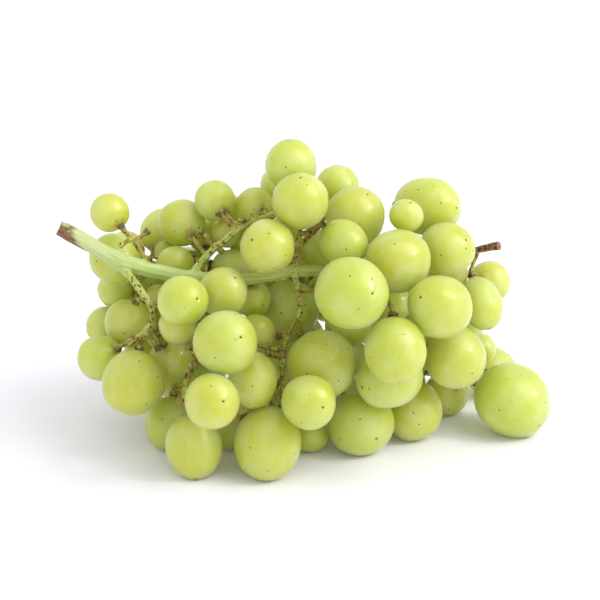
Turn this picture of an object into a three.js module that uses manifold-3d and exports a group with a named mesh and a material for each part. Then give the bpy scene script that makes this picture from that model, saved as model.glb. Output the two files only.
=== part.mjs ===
// A bunch of white table grapes lying on its side: one branched stem and the grapes that hang on it.
// Frame: millimetres, +X along the bunch away from the cut stalk, -Y towards the open front, +Z up.
// The table is z = 0, and the origin is the middle of the bunch's footprint on it.
import * as THREE from "three";
import { mergeVertices } from "three/addons/utils/BufferGeometryUtils.js";
import Module from "manifold-3d";

const wasm = await Module();
wasm.setup();

// ---- Driving dimensions, in millimetres ----

const GAP = 0.35; // clearance that neighbouring pieces keep
const SQUASH = 0.8; // how far a ripe grape flattens where it rests on the table
const NECK_RADIUS = 1.6; // of the joint between hidden grapes that share a node
const SEAT_GAP = 0.45; // from a pedicel's cap to the pole of its grape
const CAP_RADIUS = 1.9; // of the round cap at the end of a pedicel
const PEDICEL_RADIUS = 0.8;
const BARE_CAP_RADIUS = 1.6;
const INWARD_LEAN = 0.8; // of a leaning grape's axis, for each 1 that it leans in the front's plane
const SHORTEST_EDGE = 0.03; // slivers below this, where pedicels meet, are merged away
const GOLDEN_ANGLE = Math.PI * (3 - Math.sqrt(5));

// ---- The stem's routes, drawn by hand: points along each centreline ----

const STALK = [
  [-82, -10, 79],
  [-72, -11, 74],
  [-62, -12, 68],
  [-52, -10, 64],
  [-41, -8, 61],
  [-29, -7, 59],
  [-20, -6, 59],
  [-11, -6, 60],
  [-3, -6, 62],
];
const RACHIS = [
  [-3, -6, 62],
  [7, -3, 62],
  [17, 0, 60],
  [34, 3, 61],
  [48, 13, 59],
  [59, 17, 61],
  [65, 13, 64],
  [70, 10, 66],
];
// Laterals: radius where each leaves its parent, and route.
const LATERALS = {
  left_drop: {
    radius: 1.4,
    route: [
      [-62, -12, 67], [-56, -16, 61], [-51, -18, 54], [-50, -18, 49], [-53, -17, 44],
    ],
  },
  left_back: {
    radius: 1.3,
    route: [
      [-60, -11, 66], [-58, -2, 58], [-57, 10, 50], [-56, 22, 40], [-54, 27, 28],
    ],
  },
  left_top: { radius: 0.95, route: [[-52, -9, 65], [-54, -8, 69], [-58, -6, 74]] },
  crown_left: {
    radius: 1.45,
    route: [
      [-37, -8, 61], [-34, -4, 65], [-30, -3, 69], [-25, -3, 73], [-20, -2, 77], [-14, 0, 79],
      [-9, 2, 80],
    ],
  },
  crown_mid: { radius: 1.1, route: [[-2, -6, 62], [-1, -6, 70], [0, -6, 75]] },
  crown_back: { radius: 1.2, route: [[17, 0, 60], [14, 12, 68], [6, 22, 73], [-2, 27, 71]] },
  heart: {
    radius: 1.15,
    route: [
      [-2, -8, 62], [-1, -10, 57], [0, -10, 53], [0, -11, 48], [0, -12, 43], [1, -5, 34],
      [10, -3, 22], [17, -6, 14],
    ],
  },
  front_drop: {
    radius: 1.0,
    route: [
      [0, -11, 49], [-3, -12, 44], [-5, -16, 40], [-6, -22, 35], [-6, -26, 30], [-6, -28, 23],
    ],
  },
  front_left: {
    radius: 1.2,
    route: [
      [-39, -8, 60], [-34, -12, 52], [-33, -21, 45], [-37, -29, 37], [-39, -32, 30],
      [-39, -34, 25],
    ],
  },
  right_drop: {
    radius: 1.2,
    route: [
      [34, 3, 61], [42, 8, 50], [46, 8, 37], [50, 6, 27], [58, 8, 17], [63, 9, 14],
    ],
  },
  back_left: { radius: 1.3, route: [[-35, -7, 60], [-32, 6, 50], [-33, 18, 38], [-34, 22, 26]] },
  back_mid: { radius: 1.3, route: [[-3, -6, 62], [0, 8, 58], [2, 24, 44], [4, 28, 28], [8, 26, 16]] },
  back_right: { radius: 1.3, route: [[34, 3, 61], [34, 14, 52], [36, 24, 40], [38, 26, 26]] },
};

// ---- The grapes of the open front, region by region: centre x, y, z, width across and length from stem end
// to tip. A sixth number is the way that the stem end of a long grape points, in degrees from +X towards +Z;
// the others point at the place on the stem that they hang from.

const LEFT_SHOULDER = [
  [-66, 4, 80, 13, 13],
  [-65, 7, 62, 17.5, 18.5],
  [-66, 18, 46, 13, 13],
  [-61, 3, 38.5, 17, 17],
  [-70, 16, 34, 13.5, 13.5],
  [-69, -6, 31, 16, 16],
  [-57, -24, 28, 21.5, 22.5, 80],
  [-43, 8, 63.5, 12.5, 14, 0],
  [-49, 28, 65, 16.5, 16.5],
  [-42, 14, 70.5, 16.5, 17],
];
const CROWN = [
  [-30, 12, 82, 14, 14],
  [-16, 14, 79, 13.5, 13.5],
  [-7, 24, 84, 14, 14],
  [-3, 6, 96, 18, 18],
  [0, -10, 89, 19, 19.5],
  [13.5, 23, 83, 15.5, 15.5],
  [18, 8, 75, 21, 21],
  [18.5, -12, 73, 15.5, 17, 150],
  [-11, -18, 75, 18.5, 18.5],
  [-22.5, 10, 57, 14, 19, 180],
];
const RIGHT_SHOULDER = [
  [33.7, -16, 69, 21.5, 23, 0],
  [46, 15, 76.5, 20.5, 25, 190],
  [36, -6, 80, 11.5, 11.5],
  [50.3, 2, 69, 19, 19.5],
  [45.3, -26, 58.5, 21, 24, -40],
  [67, 18, 49, 15, 15, 150],
  [63, 2, 47, 14.5, 19.5, 110],
  [54, -10, 32, 21, 22, 100],
  [33, -2, 49, 12.5, 12.5],
];
const FRONT = [
  [-38.3, -32, 61, 17, 17],
  [-26.7, -22, 60, 16.5, 18],
  [-25, -42, 49, 21, 21.5],
  [17, -36, 65, 24, 24.5],
  [32, -38, 45, 20.5, 23, 95],
  [29.5, -24, 27.5, 20, 24.5, 0],
  [16, -8, 42, 15.5, 16.5, 0],
  [5, -21, 35.5, 23.5, 24],
  [3, -44, 29, 18, 19.5],
  [-16, -32, 32, 16, 19.5, 95],
  [-29, -52, 33, 18, 18.5],
  [-15, -12, 42, 13, 13.5],
  [-4, 6, 43, 21, 22.5, 80],
  [-41.5, -21, 47.5, 12.5, 13],
  [-45, -9, 30, 15, 15.5],
];
const FOOT = [
  [-36, -37, 11, 19, 22.5, 95],
  [-11, -38, 12.5, 22.5, 25.5, 80],
  [-46, -14, 9, 16.5, 19.5, 80],
  [6.5, -18, 7, 13, 13],
  [19.5, -19, 11.5, 23, 23],
  [40, -6, 10, 20, 22, 70],
  [53, 16, 8, 16, 16],
  [75.3, -2, 12.5, 25.5, 28.5, 145],
  [71, 34, 9, 18.5, 19.5],
];
// Small grapes between the others.
const BETWEEN = [
  [-35, 24, 60, 13.5, 13.5],
  [-25, 27, 61, 13.5, 13.5],
  [6, 18, 65, 14, 14],
  [46, -4, 36, 11, 11],
  [64, 16, 26, 11, 11],
  [6, 21, 47, 14.5, 14.5],
  [-17, -3, 48, 12.5, 12.5],
  [-42, 0, 16, 13.5, 13.5],
  [-9, -8, 27, 13.5, 13.5],
  [-24, -16, 6.5, 13.5, 13.5],
  [52, 17, 52, 12, 12],
  [-54, 26, 56, 14, 14],
  [-53, 18, 47, 13, 13],
  [-5, 19, 67, 11, 11],
];

// ---- The far side: grapes on the back of an oval shell, the golden angle apart ----

const FAR_COUNT = 31;
const FAR_CENTRE = new THREE.Vector3(0, 10, 33);
const FAR_HALF_AXES = new THREE.Vector3(58, 34, 27);
const FAR_WIDTH = 17.5;
const FAR_VARIATION = 2;
const FAR_SECTORS = 6; // nodes that these grapes are shared out over

// ---- Bare pedicels, whose grapes are gone: the lateral each grows from, and its cap ----

const BARE = [
  ["crown_left", [-28, 0, 82]],
  ["crown_left", [-35, -3, 76]],
  ["crown_left", [-20, -2, 80]],
  ["crown_left", [-27, -8, 70]],
  ["left_top", [-52, -3, 76]],
  ["left_top", [-62, -8, 72]],
  ["left_top", [-49, -9, 69]],
  ["left_drop", [-57, -16, 54]],
  ["left_drop", [-59, -16, 39]],
  ["left_drop", [-48, -20, 38]],
  ["front_drop", [-11, -26, 40]],
  ["crown_mid", [9, -8, 81]],
  ["front_left", [-38, -28, 43]],
  ["front_left", [-35, -33, 38]],
  ["front_left", [-41, -38, 27]],
];

// ---- Shapes ----

const UP = new THREE.Vector3(0, 0, 1);
const UP_THE_GRAPE = new THREE.Vector3(0, 1, 0); // from its tip to its stem end, as it is turned

const vector = (p) => new THREE.Vector3(...p);

// How far a grape reaches from its centre in a direction. A grape is an oval, longer along its own axis.
function reach(grape, direction) {
  const along = direction.dot(grape.axis);
  const across = Math.sqrt(Math.max(0, 1 - along * along));
  return Math.hypot((grape.length / 2) * along, (grape.width / 2) * across);
}

// The oval skin of a grape around its centre, pole to pole along +Y, drawn larger by `extra` all round.
function ovalGeometry(grape, extra = 0) {
  const [sides, rings] = grape.hidden ? [7, 5] : [10, 7];
  const profile = [];
  for (let i = 0; i <= rings; i++) {
    const angle = (Math.PI * i) / rings;
    const r = i === 0 || i === rings ? 0 : (grape.width / 2 + extra) * Math.sin(angle);
    profile.push(new THREE.Vector2(r, -(grape.length / 2 + extra) * Math.cos(angle)));
  }
  return new THREE.LatheGeometry(profile, sides);
}

// A tapering limb: a turned profile, bent along a smooth curve through the route. Each station is [share of
// the way along, radius].
function limbGeometry(route, stations, sides) {
  const curve = new THREE.CatmullRomCurve3(route);
  const steps = 60;
  const frames = curve.computeFrenetFrames(steps);
  const profile = stations.map(([t, r]) => new THREE.Vector2(r, t));
  const geometry = new THREE.LatheGeometry(
    [new THREE.Vector2(0, stations[0][0]), ...profile, new THREE.Vector2(0, stations.at(-1)[0])],
    sides,
  );
  const position = geometry.getAttribute("position");
  for (let i = 0; i < position.count; i++) {
    const t = position.getY(i);
    const step = Math.round(t * steps);
    const point = curve
      .getPointAt(t)
      .addScaledVector(frames.binormals[step], position.getX(i))
      .addScaledVector(frames.normals[step], position.getZ(i));
    position.setXYZ(i, point.x, point.y, point.z);
  }
  return geometry;
}

// ---- Solids ----

function solidOf(geometry, matrix = new THREE.Matrix4()) {
  const bare = new THREE.BufferGeometry();
  bare.setAttribute("position", geometry.getAttribute("position").clone());
  bare.setIndex(geometry.index.clone());
  const merged = mergeVertices(bare.applyMatrix4(matrix), 1e-3);
  const vertProperties = merged.attributes.position.array;
  const triVerts = new Uint32Array(merged.index.array);
  return new wasm.Manifold(new wasm.Mesh({ numProp: 3, vertProperties, triVerts }));
}

function geometryOf(solid, origin = new THREE.Vector3()) {
  const { numProp, numVert, vertProperties, triVerts } = solid.getMesh();
  const position = new Float32Array(numVert * 3);
  for (let i = 0; i < numVert; i++) {
    position.set(vertProperties.subarray(i * numProp, i * numProp + 3), i * 3);
  }
  const geometry = new THREE.BufferGeometry()
    .setAttribute("position", new THREE.BufferAttribute(position, 3))
    .setIndex(new THREE.BufferAttribute(triVerts, 1))
    .translate(-origin.x, -origin.y, -origin.z);
  geometry.computeVertexNormals();
  return geometry;
}

function turnOf(grape) {
  return new THREE.Quaternion().setFromUnitVectors(UP_THE_GRAPE, grape.axis);
}

function grapeSolid(grape, extra = 0) {
  const place = new THREE.Matrix4().compose(grape.centre, turnOf(grape), new THREE.Vector3(1, 1, 1));
  return solidOf(ovalGeometry(grape, extra), place);
}

// ---- The grapes ----

function grapesFrom(rows, name) {
  return rows.map(([x, y, z, width, length, lean], i) => ({
    name: `${name}_${i + 1}`,
    centre: new THREE.Vector3(x, y, z),
    axis: leaningAxis(lean ?? 90),
    leans: lean !== undefined,
    width,
    length,
    hidden: !name,
  }));
}

// A grape's stem end points inwards, to the core of the bunch, as well as the way that it leans.
function leaningAxis(degrees) {
  const angle = THREE.MathUtils.degToRad(degrees);
  return new THREE.Vector3(Math.cos(angle), INWARD_LEAN, Math.sin(angle)).normalize();
}

function farSideRows() {
  const rows = [];
  for (let i = 0; i < FAR_COUNT; i++) {
    const back = 1 - (i + 0.5) / FAR_COUNT; // 1 at the middle of the back, 0 at the shell's rim
    const round = Math.sqrt(1 - back * back);
    const turn = i * GOLDEN_ANGLE;
    const place = new THREE.Vector3(round * Math.cos(turn), back, round * Math.sin(turn))
      .multiply(FAR_HALF_AXES)
      .add(FAR_CENTRE);
    const width = FAR_WIDTH + FAR_VARIATION * Math.sin(3 * turn);
    rows.push([place.x, place.y, Math.max(place.z, width / 2), width, width]);
  }
  return rows;
}

// Limbs as rows of beads, for keeping the grapes clear of them.
function beadsOf(route, radius) {
  const curve = new THREE.CatmullRomCurve3(route.map(vector));
  const count = Math.ceil(curve.getLength() / 1.5);
  return curve.getSpacedPoints(count).map((centre, i) => ({ centre, radius, t: i / count }));
}

// Lets the grapes push each other, the stem and the table apart until all keep their clearance. A hidden
// grape gives way more than one that shows.
function settle(grapes, beads) {
  const shove = new THREE.Vector3();
  for (let round = 0; round < 500; round++) {
    for (const a of grapes) {
      for (const b of grapes) {
        if (a === b) continue;
        shove.subVectors(a.centre, b.centre);
        const apart = shove.length();
        if (apart > 28) continue;
        shove.normalize();
        const press = reach(a, shove) + reach(b, shove) + GAP - apart;
        if (press <= 0) continue;
        const share = a.hidden === b.hidden ? 0.5 : a.hidden ? 0.95 : 0.05;
        a.centre.addScaledVector(shove, press * share * 0.6);
      }
      for (const bead of beads) {
        shove.subVectors(a.centre, bead.centre);
        const apart = shove.length();
        if (apart > 20) continue;
        shove.normalize();
        const press = reach(a, shove) + bead.radius + GAP - apart;
        if (press > 0) a.centre.addScaledVector(shove, press * 0.5);
      }
      const resting = reach(a, UP) - SQUASH;
      a.centre.z = a.rests ? resting : Math.max(a.centre.z, resting);
    }
  }
}

// ---- Pedicels: the short stalk from the stem to each grape ----

// How far a straight way from one point to another runs inside the other grapes.
function blocked(from, to, grapes, own) {
  const way = new THREE.Line3(from, to);
  const near = new THREE.Vector3();
  let depth = 0;
  for (const grape of grapes) {
    if (grape === own) continue;
    way.closestPointToPoint(grape.centre, true, near);
    const inside = (grape.width + grape.length) / 4 + PEDICEL_RADIUS - near.distanceTo(grape.centre);
    if (inside > 0) depth += inside;
  }
  return depth;
}

// Picks where on the stem each grape hangs: near, unblocked, and not where others already hang.
function hang(grapes, beads) {
  for (const grape of grapes) {
    const from = grape.leans ? capPlace(grape) : grape.centre;
    let best = Infinity;
    for (const bead of beads) {
      const apart = bead.centre.distanceTo(from);
      if (apart > 50) continue;
      const cost = apart + 2.5 * blocked(bead.centre, from, grapes, grape) + 3 * (bead.used ?? 0);
      if (cost < best) {
        best = cost;
        grape.root = bead;
      }
    }
    for (const bead of beads) {
      if (bead.centre.distanceTo(grape.root.centre) < 3) bead.used = (bead.used ?? 0) + 1;
    }
    if (!grape.leans) grape.axis.subVectors(grape.root.centre, grape.centre).normalize();
  }
}

const capPlace = (grape) => grape.centre.clone().addScaledVector(grape.axis, grape.length / 2 + SEAT_GAP);

// The route from the stem to a cap, bent round any grape in its way.
function bentRoute(root, approach, end, grapes) {
  const count = Math.max(2, Math.round(root.distanceTo(approach) / 4));
  const route = [];
  for (let i = 0; i <= count; i++) route.push(root.clone().lerp(approach, i / count));
  const out = new THREE.Vector3();
  for (let round = 0; round < 80; round++) {
    for (let i = 1; i < count; i++) {
      const middle = route[i - 1].clone().add(route[i + 1]).multiplyScalar(0.5);
      route[i].lerp(middle, 0.3);
      for (const grape of grapes) {
        out.subVectors(route[i], grape.centre);
        const apart = out.length();
        out.normalize();
        const inside = reach(grape, out) + PEDICEL_RADIUS + GAP + 0.3 - apart;
        if (inside > 0) route[i].addScaledVector(out, inside * 0.6);
      }
      route[i].z = Math.max(route[i].z, PEDICEL_RADIUS + GAP);
    }
  }
  return [...route, end];
}

// A pedicel widens to its cap over the last few millimetres.
function pedicelSolid(route, capRadius) {
  const length = new THREE.CatmullRomCurve3(route).getLength();
  const from = (mm) => 1 - Math.min(mm, length * 0.4) / length;
  const stations = [
    [0, PEDICEL_RADIUS * 1.25],
    [0.5 * from(2.4), PEDICEL_RADIUS],
    [from(2.4), PEDICEL_RADIUS],
    [from(0.5), capRadius],
  ];
  return solidOf(limbGeometry(route, [...stations, [1, capRadius * 0.9]], 4));
}

function seatPedicel(grape, grapes) {
  const end = capPlace(grape);
  const approach = end.clone().addScaledVector(grape.axis, 2.2);
  const capRadius = CAP_RADIUS * (0.7 + (0.3 * grape.width) / 20);
  return pedicelSolid(bentRoute(grape.root.centre, approach, end, grapes), capRadius);
}

// ---- The stem: stalk, rachis, laterals and pedicels grown as one piece ----

function taper(start, end, count) {
  const stations = [];
  for (let i = 0; i <= count; i++) stations.push([i / count, start + ((end - start) * i) / count]);
  return stations;
}

function lateralSolid({ radius, route }) {
  const count = Math.ceil(1.5 * (route.length - 1));
  const stations = taper(radius, radius * 0.75, count);
  stations[0][1] *= 1.25; // the collar where it leaves its parent
  stations[count][1] *= 1.25; // the knuckle that the last pedicels leave
  return solidOf(limbGeometry(route.map(vector), stations, 5));
}

// Share of the way along, and radius.
const STALK_STATIONS = [
  [0, 2.5],
  [0.04, 2.75],
  [0.2, 2.5],
  [0.28, 3],
  [0.4, 2.5],
  [0.55, 2.3],
  [0.75, 2.1],
  [0.9, 2],
  [1, 2.1],
];
const RACHIS_STATIONS = [
  [0, 2.2],
  [0.2, 1.9],
  [0.4, 1.7],
  [0.6, 1.5],
  [0.75, 1.2],
  [0.88, 1.05],
  [0.95, 1.3],
  [1, 1.6],
];

function stemSolid(grapes) {
  const limbs = [
    solidOf(limbGeometry(STALK.map(vector), STALK_STATIONS, 9)),
    solidOf(limbGeometry(RACHIS.map(vector), RACHIS_STATIONS, 7)),
    ...Object.values(LATERALS).map(lateralSolid),
    ...grapes.map((grape) => seatPedicel(grape, grapes)),
    ...BARE.map(([name, cap]) => {
      const end = vector(cap);
      const root = nearestPoint(LATERALS[name].route, end);
      return pedicelSolid(bentRoute(root, end.clone().lerp(root, 0.25), end, grapes), BARE_CAP_RADIUS);
    }),
  ];
  const grown = wasm.Manifold.union(limbs);
  const room = wasm.Manifold.union(grapes.map((grape) => grapeSolid(grape, GAP)));
  const pieces = grown.subtract(room).simplify(SHORTEST_EDGE).decompose();
  return pieces.sort((a, b) => b.volume() - a.volume())[0];
}

function nearestPoint(route, point) {
  const distance = (bead) => bead.centre.distanceTo(point);
  return beadsOf(route, 0).sort((a, b) => distance(a) - distance(b))[0].centre;
}

// ---- Grapes that share a node: neighbours joined by a short neck where they press together ----

const spaceBetween = (a, b) => a.centre.distanceTo(b.centre) - (reach(a, a.axis) + reach(b, b.axis));

function nearestPair(some, others) {
  let best = null;
  for (const a of some) {
    for (const b of others) {
      if (a !== b && (!best || spaceBetween(a, b) < spaceBetween(...best))) best = [a, b];
    }
  }
  return best;
}

// Joins each of the grapes to the nearest one that is joined already.
function joinAll(grapes) {
  const joined = [grapes[0]];
  const loose = new Set(grapes.slice(1));
  const necks = [];
  while (loose.size) {
    const neck = nearestPair(joined, loose);
    joined.push(neck[1]);
    loose.delete(neck[1]);
    necks.push(neck);
  }
  return necks;
}

// The far side in sectors round its middle, and each small grape with the one that it nestles against.
function nodesOf(shown, between, farSide) {
  const nodes = shown.map((grape) => ({ name: grape.name, members: [grape] }));
  for (let sector = 0; sector < FAR_SECTORS; sector++) {
    const members = farSide.filter((grape) => {
      const { x, z } = grape.centre;
      const turn = Math.atan2(z - FAR_CENTRE.z, x - FAR_CENTRE.x) / (2 * Math.PI) + 0.5;
      return Math.floor(turn * FAR_SECTORS) % FAR_SECTORS === sector;
    });
    nodes.push({ name: `grapes_far_side_${sector + 1}`, members });
  }
  for (const grape of between) {
    const [, neighbour] = nearestPair([grape], [...shown, ...farSide]);
    nodes.find(({ members }) => members.includes(neighbour)).members.push(grape);
  }
  return nodes.map((node) => ({ ...node, necks: joinAll(node.members) }));
}

function neckSolid([a, b]) {
  const along = new THREE.Vector3().subVectors(b.centre, a.centre);
  const turn = new THREE.Quaternion().setFromUnitVectors(UP_THE_GRAPE, along.clone().normalize());
  const middle = a.centre.clone().lerp(b.centre, 0.5);
  const place = new THREE.Matrix4().compose(middle, turn, new THREE.Vector3(1, 1, 1));
  return solidOf(new THREE.CylinderGeometry(NECK_RADIUS, NECK_RADIUS, along.length() * 0.7, 4), place);
}

// ---- The bunch ----

const foot = grapesFrom(FOOT, "grape_foot").map((grape) => ({ ...grape, rests: true }));
const shown = [
  ...grapesFrom(LEFT_SHOULDER, "grape_left_shoulder"),
  ...grapesFrom(CROWN, "grape_crown"),
  ...grapesFrom(RIGHT_SHOULDER, "grape_right_shoulder"),
  ...grapesFrom(FRONT, "grape_front"),
  ...foot,
];
const between = grapesFrom(BETWEEN);
const farSide = grapesFrom(farSideRows());
const grapes = [...shown, ...between, ...farSide];
const beads = [
  ...beadsOf(STALK, 2.7),
  ...beadsOf(RACHIS, 1.9),
  ...Object.values(LATERALS).flatMap(({ radius, route }) => beadsOf(route, radius)),
];

settle(grapes, beads);
hang(grapes, beads.filter((bead) => bead.centre.x > -58));
settle(grapes, beads);

const table = solidOf(new THREE.BoxGeometry(400, 400, 40).translate(0, 0, -20));
const skin = new THREE.MeshStandardMaterial({ color: "#bfcf5a", roughness: 0.35, metalness: 0 });
const bark = new THREE.MeshStandardMaterial({ color: "#9cbf6b", roughness: 0.7, metalness: 0 });
const bunch = new THREE.Group();

for (const { name, members, necks } of nodesOf(shown, between, farSide)) {
  const skins = members.map((grape) => grapeSolid(grape));
  const solid = wasm.Manifold.union([...skins, ...necks.map(neckSolid)]);
  const mesh = new THREE.Mesh(geometryOf(solid.subtract(table), members[0].centre), skin);
  mesh.name = name;
  mesh.position.copy(members[0].centre);
  bunch.add(mesh);
}
const stem = new THREE.Mesh(geometryOf(stemSolid(grapes)), bark);
stem.name = "stem";
bunch.add(stem);

const box = new THREE.Box3().setFromObject(bunch);
bunch.position.set(-(box.min.x + box.max.x) / 2, -(box.min.y + box.max.y) / 2, -box.min.z);

export default bunch;
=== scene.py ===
# %% [markdown]
# # A bunch of white table grapes
# The bunch lies on its side on a white table. It has two kinds of piece: the stem, which is one branched piece of
# green wood, and the grapes, each an oval of wet flesh in a thin waxed skin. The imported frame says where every
# piece is and how big it is. This lesson grows a fine surface round each one and paints it with nodes.

import heapq
import math

import bpy
import numpy as np
from mathutils import Matrix, Vector, noise
from mathutils.bvhtree import BVHTree


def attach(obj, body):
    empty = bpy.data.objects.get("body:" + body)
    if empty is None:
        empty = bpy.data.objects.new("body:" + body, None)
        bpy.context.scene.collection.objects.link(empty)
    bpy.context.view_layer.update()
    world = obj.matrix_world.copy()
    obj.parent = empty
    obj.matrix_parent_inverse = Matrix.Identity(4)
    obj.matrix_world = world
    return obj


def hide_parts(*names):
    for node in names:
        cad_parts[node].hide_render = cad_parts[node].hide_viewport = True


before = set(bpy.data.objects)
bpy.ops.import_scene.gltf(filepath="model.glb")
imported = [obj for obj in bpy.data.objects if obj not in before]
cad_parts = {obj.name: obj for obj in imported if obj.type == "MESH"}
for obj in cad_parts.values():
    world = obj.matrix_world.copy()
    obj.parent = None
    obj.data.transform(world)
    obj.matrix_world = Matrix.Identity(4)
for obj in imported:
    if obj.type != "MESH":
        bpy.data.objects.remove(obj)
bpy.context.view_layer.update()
MM = 0.001  # all work below is in millimetres until a mesh is made
print("the frame holds", len(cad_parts), "nodes")

# %% [markdown]
# ## Where each grape is
# A grape in the frame is a coarse oval whose corners lie exactly on the true one, so the true oval can be found
# again by fitting. That is safer than typing in a hundred places, because it follows the frame if a grape moves.
# Small and hidden grapes share a node, joined by a neck, and those are all balls. So the balls are looked for
# first, and what is left of a node is one oval.


# %% Corners and facets of a node
def corners_and_facets(node):
    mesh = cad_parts[node].data
    flat = np.empty(3 * len(mesh.vertices))
    mesh.vertices.foreach_get("co", flat)
    used = np.empty(len(mesh.loops), dtype=np.int32)
    mesh.loops.foreach_get("vertex_index", used)
    corners, index = np.unique(np.round(flat.reshape(-1, 3) / MM, 3), axis=0, return_inverse=True)
    return corners, index.reshape(-1)[used].reshape(-1, 3)


stem_corners, stem_facets = corners_and_facets("stem")
print("the stem has", len(stem_corners), "corners")

# %% Fit a ball through points, and find the balls in a node
CORNER_ERROR = 0.003  # how far a true corner may lie from its ball
FEWEST_CORNERS = 14
GRAPE_RADII = (4, 15)


def ball_through(points):
    unknowns, *_ = np.linalg.lstsq(np.c_[2 * points, np.ones(len(points))], (points**2).sum(1), rcond=None)
    centre = unknowns[:3]
    radius = math.sqrt(max(0.0, unknowns[3] + centre @ centre))
    error = np.abs(np.linalg.norm(points - centre, axis=1) - radius).max()
    return centre, radius, error


def balls_in(corners, facets):
    ring = [{i} for i in range(len(corners))]
    for facet in facets:
        for corner in facet:
            ring[corner].update(int(c) for c in facet)
    guesses = []
    for around in ring:
        centre, radius, error = ball_through(corners[sorted(around)])
        if error < CORNER_ERROR and GRAPE_RADII[0] < radius < GRAPE_RADII[1]:
            guesses.append((centre, radius))
    left = np.ones(len(corners), dtype=bool)
    balls = []
    while guesses:
        on = [left & (np.abs(np.linalg.norm(corners - c, axis=1) - r) < CORNER_ERROR) for c, r in guesses]
        best = max(range(len(guesses)), key=lambda i: on[i].sum())
        if on[best].sum() < FEWEST_CORNERS:
            break
        balls.append(guesses[best])
        left &= ~on[best]
        guesses = [g for i, g in enumerate(guesses) if not (on[i] & on[best]).any()]
    return balls, corners[left]


# %% Fit one oval through points, dropping the ones that aren't on it
OVAL_CORNERS = 35  # an oval has more corners on it than this
TOLERANCES = (3.0, 1.0, 0.3, 0.05, 0.02)  # tighter each time round
EVERY = 5  # a fit starts from each fifth corner


def oval_near(points, middle):
    near = points[np.linalg.norm(points - middle, axis=1) < GRAPE_RADII[1]]
    for tolerance in TOLERANCES:
        if len(near) < FEWEST_CORNERS:
            return None
        x, y, z = (near - middle).T
        terms = np.c_[x * x, y * y, z * z, 2 * x * y, 2 * x * z, 2 * y * z, x, y, z]
        q, *_ = np.linalg.lstsq(terms, np.ones(len(near)), rcond=None)
        form = np.array([[q[0], q[3], q[4]], [q[3], q[1], q[5]], [q[4], q[5], q[2]]])
        centre = -0.5 * np.linalg.solve(form, q[6:])
        form = form / (1 + centre @ form @ centre)
        values, ways = np.linalg.eigh(form)
        if values[0] <= 1 / (2 * GRAPE_RADII[1]) ** 2:
            return None
        away = points - middle - centre
        size = np.sqrt(np.einsum("ij,jk,ik->i", away, form, away))
        near = points[np.abs(size - 1) / math.sqrt(values.mean()) < tolerance]
    half = 1 / np.sqrt(values)
    odd = max(range(3), key=lambda i: abs(half[i] - (half.sum() - half[i]) / 2))
    across = (half.sum() - half[odd]) / 2
    oval = {"centre": middle + centre, "axis": ways[:, odd], "across": across, "along": half[odd]}
    return len(near), oval


def ovals_in(points):
    best = (OVAL_CORNERS, None)
    for point in points[::EVERY]:
        close = points[np.linalg.norm(points - point, axis=1) < GRAPE_RADII[1]]
        tried = oval_near(points, close.mean(0))
        if tried and tried[0] > best[0]:
            best = tried
    return [best[1]] if best[1] else []


# %% Which way a grape's stem end points: to the cap of the pedicel that holds it
CAP_DEPTH = 0.8
CAP_BREADTH = 4.0


def way_to_cap(centre):
    away = stem_corners - centre
    far = np.linalg.norm(away, axis=1)
    nearest = stem_corners[far.argmin()]
    cap = (far < far.min() + CAP_DEPTH) & (np.linalg.norm(stem_corners - nearest, axis=1) < CAP_BREADTH)
    way = away[cap].mean(0)
    return way / np.linalg.norm(way)


ALONE = 80  # a node with fewer corners is one grape
ON_THE_TABLE = 0.05  # a grape is cut flat below this height
ROUND_ENOUGH = 0.03  # below this difference between its half axes, a grape is a ball and its axis is free


def grapes_in(node):
    corners, facets = corners_and_facets(node)
    if len(corners) < ALONE:
        balls, rest = [], corners
    else:
        balls, rest = balls_in(corners, facets)
    found = [{"centre": c, "axis": None, "across": r, "along": r} for c, r in balls]
    found += ovals_in(rest[rest[:, 2] > ON_THE_TABLE])
    for grape in found:
        way = way_to_cap(grape["centre"])
        if grape["axis"] is None or abs(grape["across"] - grape["along"]) < ROUND_ENOUGH:
            grape["axis"] = way
        elif way @ grape["axis"] < 0:
            grape["axis"] = -grape["axis"]
    return found


grapes = {node: grapes_in(node) for node in sorted(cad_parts) if node != "stem"}
count = sum(len(found) for found in grapes.values())
print("found", count, "grapes in", len(grapes), "nodes")
first = grapes["grape_front_1"][0]
print("grape_front_1 is", round(2 * first["across"], 1), "by", round(2 * first["along"], 1), "mm")

# %% [markdown]
# ## Small grapes in the pockets
# Every bunch has undersized grapes that never swelled, in the pockets between the big ones. The frame leaves them
# out, and the table would show through the gaps. Each pocket that is walled in by grapes on nearly every side gets
# one small grape that just fits, the roomiest pocket first.

# %% Find the pockets
POCKET_STEP = 2.0
POCKET_RADII = (3.4, 6.0)
LEFT_FREE = 0.7  # round a grape in a pocket
WALL_REACH = 22.0
WALLS = 7  # of the eight corners of a cube round the pocket, how many ways must meet a grape
stem_walls = BVHTree.FromPolygons(stem_corners.tolist(), stem_facets.tolist())
big_grapes = [grape for found in grapes.values() for grape in found]
big_centres = np.array([grape["centre"] for grape in big_grapes])


def room_beside(grape, points):
    away = points - grape["centre"]
    far = np.maximum(np.linalg.norm(away, axis=1), 0.001)
    along = (away @ grape["axis"] / far) ** 2
    reach = np.sqrt(along * grape["along"] ** 2 + (1 - along) * grape["across"] ** 2)
    return far - reach - LEFT_FREE


def walled_in(point):
    ways = big_centres - point
    near = ways[np.linalg.norm(ways, axis=1) < WALL_REACH]
    return len({tuple(way > 0) for way in near}) >= WALLS


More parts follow.
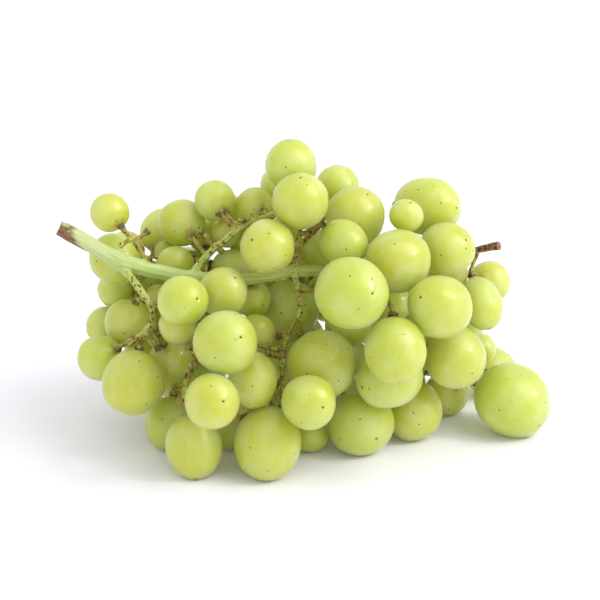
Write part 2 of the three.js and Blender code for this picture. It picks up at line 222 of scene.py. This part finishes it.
def grapes_in_pockets():
    lowest, highest = big_centres.min(0), big_centres.max(0)
    sides = [np.arange(low, high, POCKET_STEP) for low, high in zip(lowest, highest)]
    points = np.stack(np.meshgrid(*sides, indexing="ij"), -1).reshape(-1, 3)
    room = np.min([room_beside(grape, points) for grape in big_grapes], axis=0)
    roomy = room > POCKET_RADII[0]
    points, room = points[roomy], room[roomy]
    to_stem = np.array([stem_walls.find_nearest(Vector(point))[3] for point in points])
    room = np.minimum(room, to_stem - LEFT_FREE)
    found = []
    while room.max() > POCKET_RADII[0]:
        roomiest = room.argmax()
        if not walled_in(points[roomiest]):
            room[roomiest] = 0
            continue
        radius = min(room[roomiest], POCKET_RADII[1])
        centre = points[roomiest]
        grape = {"centre": centre, "axis": way_to_cap(centre), "across": radius, "along": radius}
        found.append(grape)
        room = np.minimum(room, room_beside(grape, points))
    return found


small_grapes = grapes_in_pockets()
print("found room for", len(small_grapes), "small grapes")

# %% [markdown]
# ## The shape of one grape
# A ripe grape is an oval that is never quite true: it swells more on one side, it is drawn up to its cap at the stem
# end with a shallow trough round that, and a dot is left at the tip where the flower's style dried off. A scaled
# ball with a subdivision surface would lose those two ends, so each grape is a grid of rings instead, packed close
# together at both ends, and every ring corner is moved by a few small formulas.

# %% A grid of rings from tip to stem end
AROUND = 56
RINGS = 46
END_CROWDING = 0.72  # 0 spaces the rings evenly, 1 packs them onto the two ends

share = np.arange(1, RINGS) / RINGS
ring_angles = math.pi * (share - END_CROWDING * np.sin(2 * math.pi * share) / (2 * math.pi))
turn_angles = 2 * math.pi * np.arange(AROUND) / AROUND
ring_grid, turn_grid = np.meshgrid(ring_angles, turn_angles, indexing="ij")
unit_grid = np.c_[
    (np.sin(ring_grid) * np.cos(turn_grid)).ravel(),
    (np.sin(ring_grid) * np.sin(turn_grid)).ravel(),
    -np.cos(ring_grid).ravel(),
]
unit_oval = np.vstack([[0, 0, -1], unit_grid, [0, 0, 1]])
last = len(unit_oval) - 1


def ring_faces():
    faces = []
    for k in range(AROUND):
        beside = (k + 1) % AROUND
        faces.append((0, 1 + beside, 1 + k))
        for ring in range(RINGS - 2):
            low = 1 + ring * AROUND
            faces.append((low + k, low + beside, low + AROUND + beside, low + AROUND + k))
        top = 1 + (RINGS - 2) * AROUND
        faces.append((top + k, top + beside, last))
    return faces


oval_faces = ring_faces()
print("one grape has", len(unit_oval), "corners and", len(oval_faces), "faces")

# %% Swell it unevenly, draw it up to its cap, and leave the mark of the style at its tip
SWELLINGS = 7
SWELL_LENGTHS = (9.0, 26.0)
SWELL_DEPTH = 0.075
FULLER_SKIN = 0.12  # closes most of the gap that the frame leaves between grapes
AT_CAP = ((0.42, 0, 1.5), (-0.3, 3.2, 1.5))  # rings: how high, how far from the axis, how broad
AT_TIP = ((0.16, 1.0, 0.4), (-0.3, 0, 0.7))
dice = np.random.default_rng(7)


def rings(distance, sizes):
    return sum(
        height * np.exp(-(((distance - middle) / breadth) ** 2)) for height, middle, breadth in sizes
    )


def grape_shape(across, along):
    plain = unit_oval * (across, across, along)
    out = unit_oval / (across, across, along)
    out /= np.linalg.norm(out, axis=1)[:, None]
    rise = np.full(len(plain), FULLER_SKIN)
    for _ in range(SWELLINGS):
        way = dice.normal(size=3)
        way /= np.linalg.norm(way)
        wave = 2 * math.pi / dice.uniform(*SWELL_LENGTHS)
        rise += SWELL_DEPTH * np.sin(wave * plain @ way + dice.uniform(0, 2 * math.pi))
    side = np.hypot(plain[:, 0], plain[:, 1])
    capped_end = plain[:, 2] > 0
    rise += capped_end * rings(side, AT_CAP)
    rise += ~capped_end * rings(side, AT_TIP)
    return plain, plain + out * rise[:, None]


print("the swellings come to", round(SWELLINGS * SWELL_DEPTH, 2), "mm at the very most")


# %% Turn it into place, and flatten it where it rests
def turn_to(axis):
    spin = Matrix.Rotation(dice.uniform(0, 2 * math.pi), 3, "Z")
    return np.array(Vector((0, 0, 1)).rotation_difference(Vector(axis)).to_matrix() @ spin)


def placed_grape(grape):
    plain, shaped = grape_shape(grape["across"], grape["along"])
    spots = shaped @ turn_to(grape["axis"]).T + grape["centre"]
    spots[:, 2] = np.maximum(spots[:, 2], 0.0)
    from_tip = np.linalg.norm(plain - [0, 0, -grape["along"]], axis=1)
    from_cap = np.linalg.norm(plain - [0, 0, grape["along"]], axis=1)
    return spots, plain, from_tip, from_cap


# %% [markdown]
# ## Building the grapes
# All the grapes of one node become one mesh, and so do the small ones in the pockets. The paint needs to know
# things that the joined mesh can't say: where a spot lies on its own grape, how far it is from the tip and from
# the cap, and which grape it is on. Those are stored as attributes on the corners, so that one material can serve
# every grape and still treat each differently.


# %% Store a number or a place on every corner
def store(mesh, name, values):
    kind = "FLOAT_VECTOR" if values.ndim == 2 else "FLOAT"
    field = "vector" if values.ndim == 2 else "value"
    layer = mesh.attributes.new(name, kind, "POINT")
    layer.data.foreach_set(field, values.astype(np.float32).ravel())


def new_piece(name, spots, faces, slot, *nodes):
    mesh = bpy.data.meshes.new(name)
    mesh.from_pydata((spots * MM).tolist(), [], faces)
    mesh.shade_smooth()
    piece = bpy.data.objects.new(name, mesh)
    bpy.context.collection.objects.link(piece)
    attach(piece, "root")
    if nodes:
        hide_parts(*nodes)
    return piece


# %% Build each node's grapes
def build_grapes(name, found, *nodes):
    parts = [placed_grape(grape) for grape in found]
    spots, plain, from_tip, from_cap = (np.concatenate(layer) for layer in zip(*parts))
    faces = [
        tuple(corner + i * len(unit_oval) for corner in face)
        for i in range(len(found))
        for face in oval_faces
    ]
    piece = new_piece(name, spots, faces, "grape_skin", *nodes)
    own_number = np.repeat(dice.uniform(0, 1, len(found)), len(unit_oval))
    store(piece.data, "own_place", plain)
    store(piece.data, "own_number", own_number)
    store(piece.data, "from_tip", from_tip)
    store(piece.data, "from_cap", from_cap)
    return piece


ripe_grapes = [
    build_grapes(node.replace("grape", "ripe_grape"), found, node) for node, found in grapes.items()
]
ripe_grapes.append(build_grapes("small_grapes", small_grapes))
print("built", len(ripe_grapes), "pieces of grapes")

# %% [markdown]
# ## Mixing paint with nodes
# A material is a chain of small nodes. Naming the few kinds that are used over and over keeps the recipes readable:
# read an attribute, make a noise, turn a range of numbers into a smooth 0 to 1 step, and mix two colours.


# %% Short names for the usual nodes
class Paint:
    def __init__(self, name):
        self.material = bpy.data.materials.new(name)
        self.material.use_nodes = True
        self.tree = self.material.node_tree
        self.tree.nodes.clear()
        self.surface = self.node("ShaderNodeBsdfPrincipled")
        output = self.node("ShaderNodeOutputMaterial")
        self.tree.links.new(self.surface.outputs[0], output.inputs[0])

    def node(self, kind, inputs=None, **settings):
        made = self.tree.nodes.new(kind)
        for name, value in settings.items():
            setattr(made, name, value)
        self.set(made, inputs or {})
        return made

    def set(self, node, inputs):
        for name, value in inputs.items():
            if isinstance(value, bpy.types.NodeSocket):
                self.tree.links.new(value, node.inputs[name])
            else:
                node.inputs[name].default_value = value

    def number(self, name):
        return self.node("ShaderNodeAttribute", attribute_name=name).outputs["Fac"]

    def place(self, name):
        return self.node("ShaderNodeAttribute", attribute_name=name).outputs["Vector"]

    def calc(self, operation, *values):
        return self.node("ShaderNodeMath", dict(enumerate(values)), operation=operation).outputs[0]

    def step(self, value, start, end, low=0.0, high=1.0):
        """Rises smoothly from low to high while value goes from start to end."""
        inputs = {"Value": value, "From Min": start, "From Max": end, "To Min": low, "To Max": high}
        return self.node("ShaderNodeMapRange", inputs, interpolation_type="SMOOTHSTEP").outputs[0]

    def noise(self, place, scale, detail=2.0, roughness=0.5):
        inputs = {"Vector": place, "Scale": scale, "Detail": detail, "Roughness": roughness}
        return self.node("ShaderNodeTexNoise", inputs).outputs["Fac"]

    def cells(self, place, scale):
        return self.node("ShaderNodeTexVoronoi", {"Vector": place, "Scale": scale})

    def moved(self, place, shift):
        return self.node("ShaderNodeVectorMath", {0: place, 1: shift}, operation="ADD").outputs[0]

    def stretched(self, place, sizes):
        return self.node("ShaderNodeVectorMath", {0: place, 1: sizes}, operation="MULTIPLY").outputs[0]

    def mix(self, amount, under, over):
        made = self.node("ShaderNodeMix", data_type="RGBA")
        self.set(made, {0: amount, 6: under, 7: over})
        return made.outputs[2]

    def bump(self, height, strength, distance, on=None):
        inputs = {"Height": height, "Strength": strength, "Distance": distance}
        if on is not None:
            inputs["Normal"] = on
        return self.node("ShaderNodeBump", inputs).outputs[0]


def colour(red, green, blue):
    """A colour in screen numbers, 0 to 255, as the linear colour that nodes want."""
    values = [v / 255 for v in (red, green, blue)]
    return [v / 12.92 if v <= 0.04045 else ((v + 0.055) / 1.055) ** 2.4 for v in values] + [1.0]


print("a mid grape green is", [round(v, 3) for v in colour(206, 216, 96)])

# %% [markdown]
# ## Grape skin
# A white grape is lit from inside: light sinks into the wet flesh and comes out yellow-green, so the shadow side
# glows. That is subsurface scattering, with red and green travelling far and blue hardly at all. On top lies the
# bloom, a thin dusty wax that is pale and dull, thicker in some patches and rubbed off in others, where the skin
# is glossy. Then come the small things: brown specks, faint corky dots, the scar at the tip, and a rusty stain
# round the cap. A picture wrapped round a grape would pinch at its two ends, so every mark is worked out from the
# spot's own place in the grape instead.

# %% Where things are on a grape
FAR_APART = {"X": 611.0, "Y": 1283.0, "Z": 357.0}  # mm, so that no two grapes get the same marks
skin = Paint("grape_skin")
own_number = skin.number("own_number")
own_shift = {way: skin.calc("MULTIPLY", own_number, far) for way, far in FAR_APART.items()}
shift = skin.node("ShaderNodeCombineXYZ", own_shift).outputs[0]
on_grape = skin.moved(skin.place("own_place"), shift)
from_tip = skin.number("from_tip")
from_cap = skin.number("from_cap")
print("the skin has", len(skin.tree.nodes), "nodes that say where a spot is")

# %% Flesh colour: riper and yellower in some grapes, with pale veins running from end to end
green = colour(198, 212, 98)
golden = colour(206, 207, 84)
ripeness = skin.step(own_number, 0.1, 1.0)
cloudy = skin.noise(on_grape, 0.09, detail=3.0)
flesh = skin.mix(skin.calc("MULTIPLY", cloudy, 0.6), green, golden)
flesh = skin.mix(skin.calc("MULTIPLY", ripeness, 0.6), flesh, golden)
vein_place = skin.stretched(on_grape, (1.0, 1.0, 0.12))
veins = skin.step(skin.noise(vein_place, 0.5, detail=1.0), 0.45, 0.75)
pale_vein = colour(232, 236, 166)
flesh = skin.mix(skin.calc("MULTIPLY", veins, 0.1), flesh, pale_vein)
print("the flesh brings them to", len(skin.tree.nodes))

# %% Bloom: a pale dull wax in soft patches, rubbed off here and there
patches = skin.step(skin.noise(on_grape, 0.1, detail=2.0), 0.35, 0.7)
rubbed = skin.step(skin.noise(on_grape, 0.3, detail=2.0), 0.48, 0.72)
left_on = skin.calc("SUBTRACT", 1.0, skin.calc("MULTIPLY", rubbed, 0.5))
bloom = skin.calc("MULTIPLY", patches, left_on)
wax = colour(224, 233, 190)
waxed = skin.mix(skin.calc("MULTIPLY", bloom, 0.35), flesh, wax)
print("the bloom brings them to", len(skin.tree.nodes))

# %% Specks, corky dots, the scar at the tip and the stain round the cap
SPECK_CELLS = 0.3  # cells per millimetre
DOT_CELLS = 0.7


def some_of(cells, share):
    """One in every cell that the dice pick, as 0 or 1."""
    chance = skin.node("ShaderNodeSeparateColor", {0: cells.outputs["Color"]}).outputs[0]
    return skin.calc("LESS_THAN", chance, share)


speck_cells = skin.cells(on_grape, SPECK_CELLS)
speck_edge = skin.step(speck_cells.outputs["Distance"], 0.105, 0.075)
speck = skin.calc("MULTIPLY", some_of(speck_cells, 0.35), speck_edge)
dot_cells = skin.cells(on_grape, DOT_CELLS)
dot_edge = skin.step(dot_cells.outputs["Distance"], 0.15, 0.08)
dot = skin.calc("MULTIPLY", some_of(dot_cells, 0.5), dot_edge)
scar = skin.step(from_tip, 0.5, 0.3)
scar_ring = skin.calc("MULTIPLY", skin.step(from_tip, 1.0, 0.6), 0.2)
rust_edge = skin.calc("MULTIPLY", skin.noise(on_grape, 0.5, detail=3.0), 5.0)
rust = skin.step(skin.calc("SUBTRACT", from_cap, rust_edge), 1.0, -1.4)
dark_marks = skin.calc("MAXIMUM", skin.calc("MULTIPLY", speck, 0.9), scar)
cork_pale, scar_tan, rust_brown, speck_brown = (
    colour(234, 236, 176),
    colour(190, 180, 100),
    colour(176, 132, 58),
    colour(56, 38, 16),
)
painted = skin.mix(skin.calc("MULTIPLY", dot, 0.2), waxed, cork_pale)
painted = skin.mix(scar_ring, painted, scar_tan)
painted = skin.mix(skin.calc("MULTIPLY", rust, 0.6), painted, rust_brown)
painted = skin.mix(dark_marks, painted, speck_brown)
print("the small marks bring them to", len(skin.tree.nodes))

# %% Put the skin together
dulled = skin.calc("MULTIPLY_ADD", bloom, 0.12, 0.42)
dimples = skin.bump(skin.noise(on_grape, 1.1, detail=3.0, roughness=0.6), 0.5, 0.0001)
lens_dots = skin.bump(skin.calc("MAXIMUM", dot, speck), 0.5, 0.0001, on=dimples)
skin.set(skin.surface, {
    "Base Color": painted,
    "Roughness": dulled,
    "Normal": lens_dots,
    "Subsurface Weight": 1.0,
    "Subsurface Radius": (1.0, 0.95, 0.12),
    "Subsurface Scale": 0.016,
    "Subsurface Anisotropy": 0.8,
    "Transmission Weight": 0.3,
    "IOR": 1.4,
    "Specular IOR Level": 1.0,
    "Coat Weight": 0.5,
    "Coat Roughness": 0.08,
    "Coat IOR": 1.45,
    "Coat Normal": lens_dots,
    "Sheen Weight": 1.0,
    "Sheen Roughness": 0.14,
})
for piece in ripe_grapes:
    piece.data.materials.append(skin.material)
print("the whole skin has", len(skin.tree.nodes), "nodes")

# %% [markdown]
# ## The shape of the stem
# The frame's stem has few, flat-sided limbs. The real one is round and soft-edged, thick where limbs meet, and has
# grown as one piece. Remeshing does all of that at once: the limbs are plumped out a little, refilled with fine,
# even cells, and smoothed, which rounds the flats and fills the forks.

# %% Plump, remesh and smooth
CELL = 0.34  # mm from corner to corner
PLUMPER = 0.17  # added all round, because smoothing thins the limbs
SMOOTH_TURNS = 6


def remeshed_stem():
    mesh = bpy.data.meshes.new("plain_stem")
    mesh.from_pydata((stem_corners * MM).tolist(), [], stem_facets.tolist())
    mesh.update()
    normals = np.empty(3 * len(stem_corners))
    mesh.vertex_normals.foreach_get("vector", normals)
    plumped = stem_corners + PLUMPER * normals.reshape(-1, 3)
    mesh.vertices.foreach_set("co", (plumped * MM).ravel())
    plain = bpy.data.objects.new("plain_stem", mesh)
    bpy.context.collection.objects.link(plain)
    remesh = plain.modifiers.new("even_cells", "REMESH")
    remesh.mode = "VOXEL"
    remesh.voxel_size = CELL * MM
    smooth = plain.modifiers.new("round_off", "SMOOTH")
    smooth.factor = 0.5
    smooth.iterations = SMOOTH_TURNS
    fine = plain.evaluated_get(bpy.context.evaluated_depsgraph_get()).to_mesh()
    spots = np.empty(3 * len(fine.vertices))
    fine.vertices.foreach_get("co", spots)
    normals = np.empty(3 * len(fine.vertices))
    fine.vertex_normals.foreach_get("vector", normals)
    faces = [tuple(face.vertices) for face in fine.polygons]
    bpy.data.objects.remove(plain)
    return spots.reshape(-1, 3) / MM, normals.reshape(-1, 3), faces


stem_spots, stem_normals, stem_faces = remeshed_stem()
print("the fine stem has", len(stem_spots), "corners")

# %% [markdown]
# ## Where the stem is what
# The stem changes along its way: a thick pale stalk, greener limbs, thin brownish pedicels with warts, and a brown
# cap at each end. The paint needs to know which of those a spot is on. Two measures say it: how thick the stem is
# under that spot, found by sending a ray inwards until it comes out on the far side, and how far the nearest tip is.

# %% How thick is the stem under each spot
THICKEST = 12.0
JUST_INSIDE = 0.05  # the ray starts a little under the skin, or it would hit its own face
stem_tree = BVHTree.FromPolygons(stem_spots.tolist(), stem_faces)


def thickness_at(spot, normal):
    hit = stem_tree.ray_cast(Vector(spot - JUST_INSIDE * normal), Vector(-normal), THICKEST)
    return hit[3] if hit[0] is not None else THICKEST


thickness = np.array([thickness_at(s, n) for s, n in zip(stem_spots, stem_normals)])
print("the stem is", round(float(np.median(thickness)), 2), "mm thick at the median")


# %% Walk the stem from its stalk, corner to corner
def walk_from(start, corners, facets):
    steps = [{} for _ in corners]
    for a, b, c in facets.tolist():
        for one, other in ((a, b), (b, c), (c, a)):
            length = float(np.linalg.norm(corners[one] - corners[other]))
            steps[one][other] = steps[other][one] = length
    walked = np.full(len(corners), np.inf)
    walked[start] = 0.0
    queue = [(0.0, start)]
    while queue:
        far, at = heapq.heappop(queue)
        if far > walked[at]:
            continue
        for beside, length in steps[at].items():
            if far + length < walked[beside]:
                walked[beside] = far + length
                heapq.heappush(queue, (far + length, beside))
    return walked


walked = walk_from(int(stem_corners[:, 0].argmin()), stem_corners, stem_facets)
print("the longest way through the stem is", round(float(walked.max())), "mm")

# %% A tip is the far end of a walk with all of the stem to one side of it
REACH_OF_A_TIP = 3.2
ALL_ROUND = 4.5  # the stem within this of a tip is weighed
ONE_SIDED = 1.25  # how far from a tip the middle of that stem lies, at least
CAP_THICKNESS = 1.4


def tips_of_stem():
    found = []
    for corner, far in zip(stem_corners, walked):
        near = np.linalg.norm(stem_corners - corner, axis=1) < REACH_OF_A_TIP
        if far < walked[near].max():
            continue
        tip = stem_corners[near & (walked > far - CAP_THICKNESS)].mean(0)
        way = tip - stem_spots[np.linalg.norm(stem_spots - tip, axis=1) < ALL_ROUND].mean(0)
        if np.linalg.norm(way) > ONE_SIDED:
            found.append((tip, way / np.linalg.norm(way)))
    return found


stem_tips = tips_of_stem()
tip_places = np.array([tip for tip, _ in stem_tips])
stem_ends = np.array([grape["centre"] + grape["along"] * grape["axis"] for grape in big_grapes])
BARE_BEYOND = 2.8  # a cap with no grape's stem end this close has lost its grape
bare = np.array([np.linalg.norm(stem_ends - tip, axis=1).min() > BARE_BEYOND for tip in tip_places])
print("the stem has", len(stem_tips), "tips,", int(bare.sum()), "of them bare")

# %% How far each spot is from the tips, the bare tips and the cut
def nearest_of(places, points):
    return np.min([np.linalg.norm(points - place, axis=1) for place in places], axis=0)


from_any_tip = nearest_of(tip_places, stem_spots)
from_bare_tip = nearest_of(tip_places[bare], stem_spots)
CUT_DEPTH = 1.5  # how much of the stalk's end counts as the cut
cut_middle = stem_spots[stem_spots[:, 0] < stem_spots[:, 0].min() + CUT_DEPTH].mean(0)
from_cut = np.linalg.norm(stem_spots - cut_middle, axis=1)
dry_tip = tip_places[tip_places[:, 0].argmax()]
from_dry_tip = np.linalg.norm(stem_spots - dry_tip, axis=1)
print("the cut is at", np.round(cut_middle, 1), "and the dry tip at", np.round(dry_tip, 1))

# %% [markdown]
# ## Ribs, warts and hollow caps
# Up close the stem isn't smooth. Faint ribs run along the stalk. The pedicels and caps are covered with corky warts
# as small as a pinhead. Where a grape has been pulled off, its cap is a shallow dish with a raised middle. These
# are moved into the mesh itself, since they show in the outline; only finer grain is left to the paint.


# %% Move the spots of the stem
def grain(points, length, shift=0.0):
    """Smooth noise from about -1 to 1 with lumps of this length."""
    return np.array([noise.noise(Vector(p / length + shift)) for p in points])


def between(values, start, end):
    t = np.clip((values - start) / (end - start), 0, 1)
    return t * t * (3 - 2 * t)


RIB_HEIGHT = 0.16
LUMP_HEIGHT = 0.2
WART_HEIGHTS = (0.35, 0.3)  # on slender limbs, and more at the caps
FEWER_WARTS = 0.12
side = stem_normals * np.clip(thickness, 0.5, 8)[:, None] / 2
thick = between(thickness, 2.2, 4.0)
slender = 1 - between(thickness, 1.9, 3.2)
at_caps = 1 - between(from_any_tip, 1.5, 3.4)
ribs = grain(side + 0.04 * stem_spots, 0.9)  # nearly the same all along a limb
lumps = grain(stem_spots, 3.5, 11.0)
warts = np.clip(grain(stem_spots, 0.85, 31.0) - FEWER_WARTS, 0, 1)
rise = RIB_HEIGHT * ribs * thick + LUMP_HEIGHT * lumps * (0.5 + slender)
rise = rise + warts * (WART_HEIGHTS[0] * slender + WART_HEIGHTS[1] * at_caps)
print("the stem's surface moves by", np.round([rise.min(), rise.max()], 2), "mm")

# %% Dish the bare caps, then build the stem
DISH = ((-0.55, 0.85, 0.55), (0.25, 0, 0.4), (0.2, 1.8, 0.4))  # a hollow, a raised middle and a rim
FACE_DEPTH = 1.2  # a corner belongs to a cap's face if it lies this near the tip along the way out,
FACE_REACH = 2.6  # and this near sideways
dish = np.zeros_like(stem_spots)
for (tip, way), is_bare in zip(stem_tips, bare):
    if is_bare:
        away = stem_spots - tip
        height = away @ way
        off_middle = np.linalg.norm(away - height[:, None] * way, axis=1)
        facing = between(stem_normals @ way, 0.2, 0.7)
        face = (np.abs(height) < FACE_DEPTH) * facing * (off_middle < FACE_REACH)
        dish += (face * rings(off_middle, DISH))[:, None] * way

stem_shape = stem_spots + rise[:, None] * stem_normals + dish
stem = new_piece("fresh_stem", stem_shape, stem_faces, "stem", "stem")
store(stem.data, "spot", stem_spots)
store(stem.data, "side", side)
store(stem.data, "thickness", thickness)
store(stem.data, "from_any_tip", from_any_tip)
store(stem.data, "from_bare_tip", from_bare_tip)
store(stem.data, "from_cut", from_cut)
store(stem.data, "from_dry_tip", from_dry_tip)
store(stem.data, "wart", warts)
print("built the stem with", len(stem.data.polygons), "faces")

# %% [markdown]
# ## Stem bark
# The stalk is smooth, waxy and mint green, paler in long thin streaks. Towards the grapes the stem turns olive, and
# cork forms on it: tan patches along the limbs and dark brown warts on the pedicels. Caps are brown at the rim. The
# cut has dried to a rusty brown that runs back along the skin. It could be painted on by hand, but a branched thing
# lies flat badly. So all of it is mixed from the measures above, in the order in which it covers the stem: green
# first, then cork, warts, caps and last the cut.

# %% Green, from the stalk to the pedicels
bark = Paint("stem_bark")
spot = bark.place("spot")
side_place = bark.place("side")
thick_here = bark.number("thickness")


def drawn_out(share):
    """A place that changes fast round a limb, and by only this share along it."""
    return bark.moved(side_place, bark.stretched(spot, (share, share, share)))


along_limb = drawn_out(0.05)
streaks = bark.step(bark.noise(along_limb, 1.5, detail=4.0), 0.35, 0.7)
cloudy = bark.noise(spot, 0.14, detail=3.0)
from_cut_here = bark.number("from_cut")
mint = bark.mix(streaks, colour(168, 190, 106), colour(192, 208, 132))
# Paler towards the cut: partly the stalk's own pale tone, and partly a painted highlight, a pale wash standing in
# for light falling on the stalk.
mint = bark.mix(bark.step(from_cut_here, 36.0, 8.0, 0.0, 0.35), mint, colour(210, 214, 178))
olive = bark.mix(streaks, colour(164, 174, 72), colour(200, 204, 118))
browner = bark.step(bark.noise(spot, 0.5, detail=2.0), 0.4, 0.6)
straw = bark.mix(browner, colour(158, 160, 56), colour(150, 116, 56))
on_stalk = bark.step(bark.calc("ADD", thick_here, bark.calc("MULTIPLY", cloudy, 1.6)), 3.2, 5.0)
on_stalk = bark.calc("MULTIPLY", on_stalk, bark.step(from_cut_here, 70.0, 50.0))
green_here = bark.mix(on_stalk, olive, mint)
green_here = bark.mix(bark.step(thick_here, 2.5, 1.7), green_here, straw)
print("the green of the stem has", len(bark.tree.nodes), "nodes")

# %% Cork patches and warts
cork = bark.step(bark.noise(drawn_out(0.3), 0.55, detail=5.0, roughness=0.7), 0.57, 0.66)
cork = bark.calc("MULTIPLY", cork, bark.step(thick_here, 5.0, 3.4))
corked = bark.mix(bark.calc("MULTIPLY", cork, 0.75), green_here, colour(150, 98, 50))
wart_zone = bark.step(thick_here, 3.8, 2.4)
pits = bark.step(bark.noise(spot, 0.95, detail=4.0, roughness=0.65), 0.615, 0.675)
raised = bark.step(bark.number("wart"), 0.12, 0.34)
wart_paint = bark.calc("MULTIPLY", wart_zone, bark.calc("MAXIMUM", pits, raised))
warty = bark.mix(bark.calc("MULTIPLY", wart_paint, 0.95), corked, colour(64, 44, 20))
print("cork and warts bring them to", len(bark.tree.nodes))

# %% Caps, the dry tip and the cut
from_tip_here = bark.number("from_any_tip")
cap_noise = bark.noise(spot, 0.9, detail=3.0)
cap_edge = bark.calc("ADD", from_tip_here, bark.calc("MULTIPLY", cap_noise, 1.6))
cap_zone = bark.step(cap_edge, 3.2, 2.2)
cap_brown = bark.mix(bark.step(cap_noise, 0.4, 0.62), colour(54, 42, 18), colour(92, 62, 28))
capped = bark.mix(bark.calc("MULTIPLY", cap_zone, 0.85), warty, cap_brown)
bare_here = bark.number("from_bare_tip")
dish_zone = bark.calc("MULTIPLY", bark.step(bare_here, 1.5, 1.0), 0.8)
dish_middle = bark.calc("MULTIPLY", bark.step(bare_here, 0.5, 0.3), 0.8)
capped = bark.mix(dish_zone, capped, colour(150, 144, 62))
capped = bark.mix(dish_middle, capped, colour(92, 70, 30))
dry_edge = bark.calc("ADD", bark.number("from_dry_tip"), bark.calc("MULTIPLY", cap_noise, 5.0))
dry_zone = bark.step(dry_edge, 14.0, 9.0)
dried_brown = bark.mix(bark.step(cap_noise, 0.42, 0.58), colour(66, 42, 28), colour(160, 108, 82))
dried = bark.mix(bark.calc("MULTIPLY", dry_zone, 0.92), capped, dried_brown)
ragged = bark.calc("MULTIPLY", bark.noise(drawn_out(0.25), 0.5, detail=3.0), 12.0)
under = bark.node("ShaderNodeSeparateXYZ", {0: side_place}).outputs[2]
back_along = bark.calc("ADD", from_cut_here, bark.calc("MULTIPLY", under, 1.4))
cut_zone = bark.step(bark.calc("ADD", back_along, ragged), 15.5, 12.5)
rusty = bark.mix(bark.step(cap_noise, 0.35, 0.65), colour(138, 84, 46), colour(92, 54, 26))
finished_bark = bark.mix(bark.calc("MULTIPLY", cut_zone, 0.9), dried, rusty)
print("caps, dry tip and cut bring them to", len(bark.tree.nodes))

# %% Put the bark together
fine_grain = bark.bump(bark.noise(spot, 3.4, detail=3.0), 0.35, 0.00012)
streak_bump = bark.bump(streaks, 0.25, 0.00015, on=fine_grain)
bark.set(bark.surface, {
    "Base Color": finished_bark,
    "Roughness": bark.step(thick_here, 2.0, 4.5, 0.64, 0.5),
    "Normal": bark.bump(wart_paint, 0.5, 0.0002, on=streak_bump),
    "Subsurface Weight": 0.35,
    "Subsurface Radius": (1.0, 0.9, 0.35),
    "Subsurface Scale": 0.0015,
    "IOR": 1.45,
})
stem.data.materials.append(bark.material)
print("the whole bark has", len(bark.tree.nodes), "nodes")

# %% [markdown]
# ## Table, light and camera
# The table is a plain white sweep, and the light is soft: a white room all round, and one large lamp high on the
# right and in front, so that each grape has a pale side and a deeper one, and its shadow falls softly to the left.
# A second lamp, small and bright, leaves the glint that says the skin is smooth. A picture of a real room would
# light it too, but this is simpler to understand and to change.

# %% A white table
FLOOR_HALF = 1.5  # m
round_the_floor = [(-1, -1), (1, -1), (1, 1), (-1, 1)]
floor_corners = [(x * FLOOR_HALF, y * FLOOR_HALF, 0) for x, y in round_the_floor]
floor_mesh = bpy.data.meshes.new("table")
floor_mesh.from_pydata(floor_corners, [], [(0, 1, 2, 3)])
floor = bpy.data.objects.new("table", floor_mesh)
bpy.context.collection.objects.link(floor)
laminate = Paint("table_white")
laminate.set(laminate.surface, {"Base Color": (0.93, 0.92, 0.985, 1.0), "Roughness": 0.7})
floor_mesh.materials.append(laminate.material)
print("the table is", 2 * FLOOR_HALF, "m wide")

# %% The room's own light, one large soft lamp and one small bright one
world = bpy.data.worlds.new("white_room")
world.use_nodes = True
world.node_tree.nodes["Background"].inputs["Color"].default_value = (1.0, 1.0, 1.0, 1.0)
world.node_tree.nodes["Background"].inputs["Strength"].default_value = 1.0
bpy.context.scene.world = world


def soft_lamp(name, place, width, watts, aim=(0.0, 0.0, 0.04)):
    lamp = bpy.data.lights.new(name, "AREA")
    lamp.size = width
    lamp.energy = watts
    holder = bpy.data.objects.new(name, lamp)
    holder.location = place
    holder.rotation_euler = (Vector(aim) - Vector(place)).to_track_quat("-Z", "Y").to_euler()
    bpy.context.collection.objects.link(holder)
    return holder


key = soft_lamp("key_lamp", place=(0.82, -0.3, 1.0), width=0.9, watts=7.5)
glint = soft_lamp("window_glint", place=(0.94, -0.25, 0.65), width=0.16, watts=2.5)
for lamp in (key, glint):
    print(lamp.name, "stands", round(lamp.location.length, 2), "m away")

# %% The camera
TILT = math.radians(20)
AIM = Vector((-2.74, 1.57, 49.3)) * MM
AWAY = 0.75
LENS_LENGTH = 128.57  # long enough to fill the picture from there
lens = bpy.data.cameras.new("camera")
lens.lens = LENS_LENGTH
camera = bpy.data.objects.new("camera", lens)
camera.location = AIM + AWAY * Vector((0, -math.cos(TILT), math.sin(TILT)))
camera.rotation_euler = (AIM - camera.location).to_track_quat("-Z", "Y").to_euler()
bpy.context.collection.objects.link(camera)
bpy.context.scene.camera = camera
bpy.context.scene.view_settings.view_transform = "Standard"
print("the camera stands", AWAY, "m away, tilted", round(math.degrees(TILT)), "degrees down")
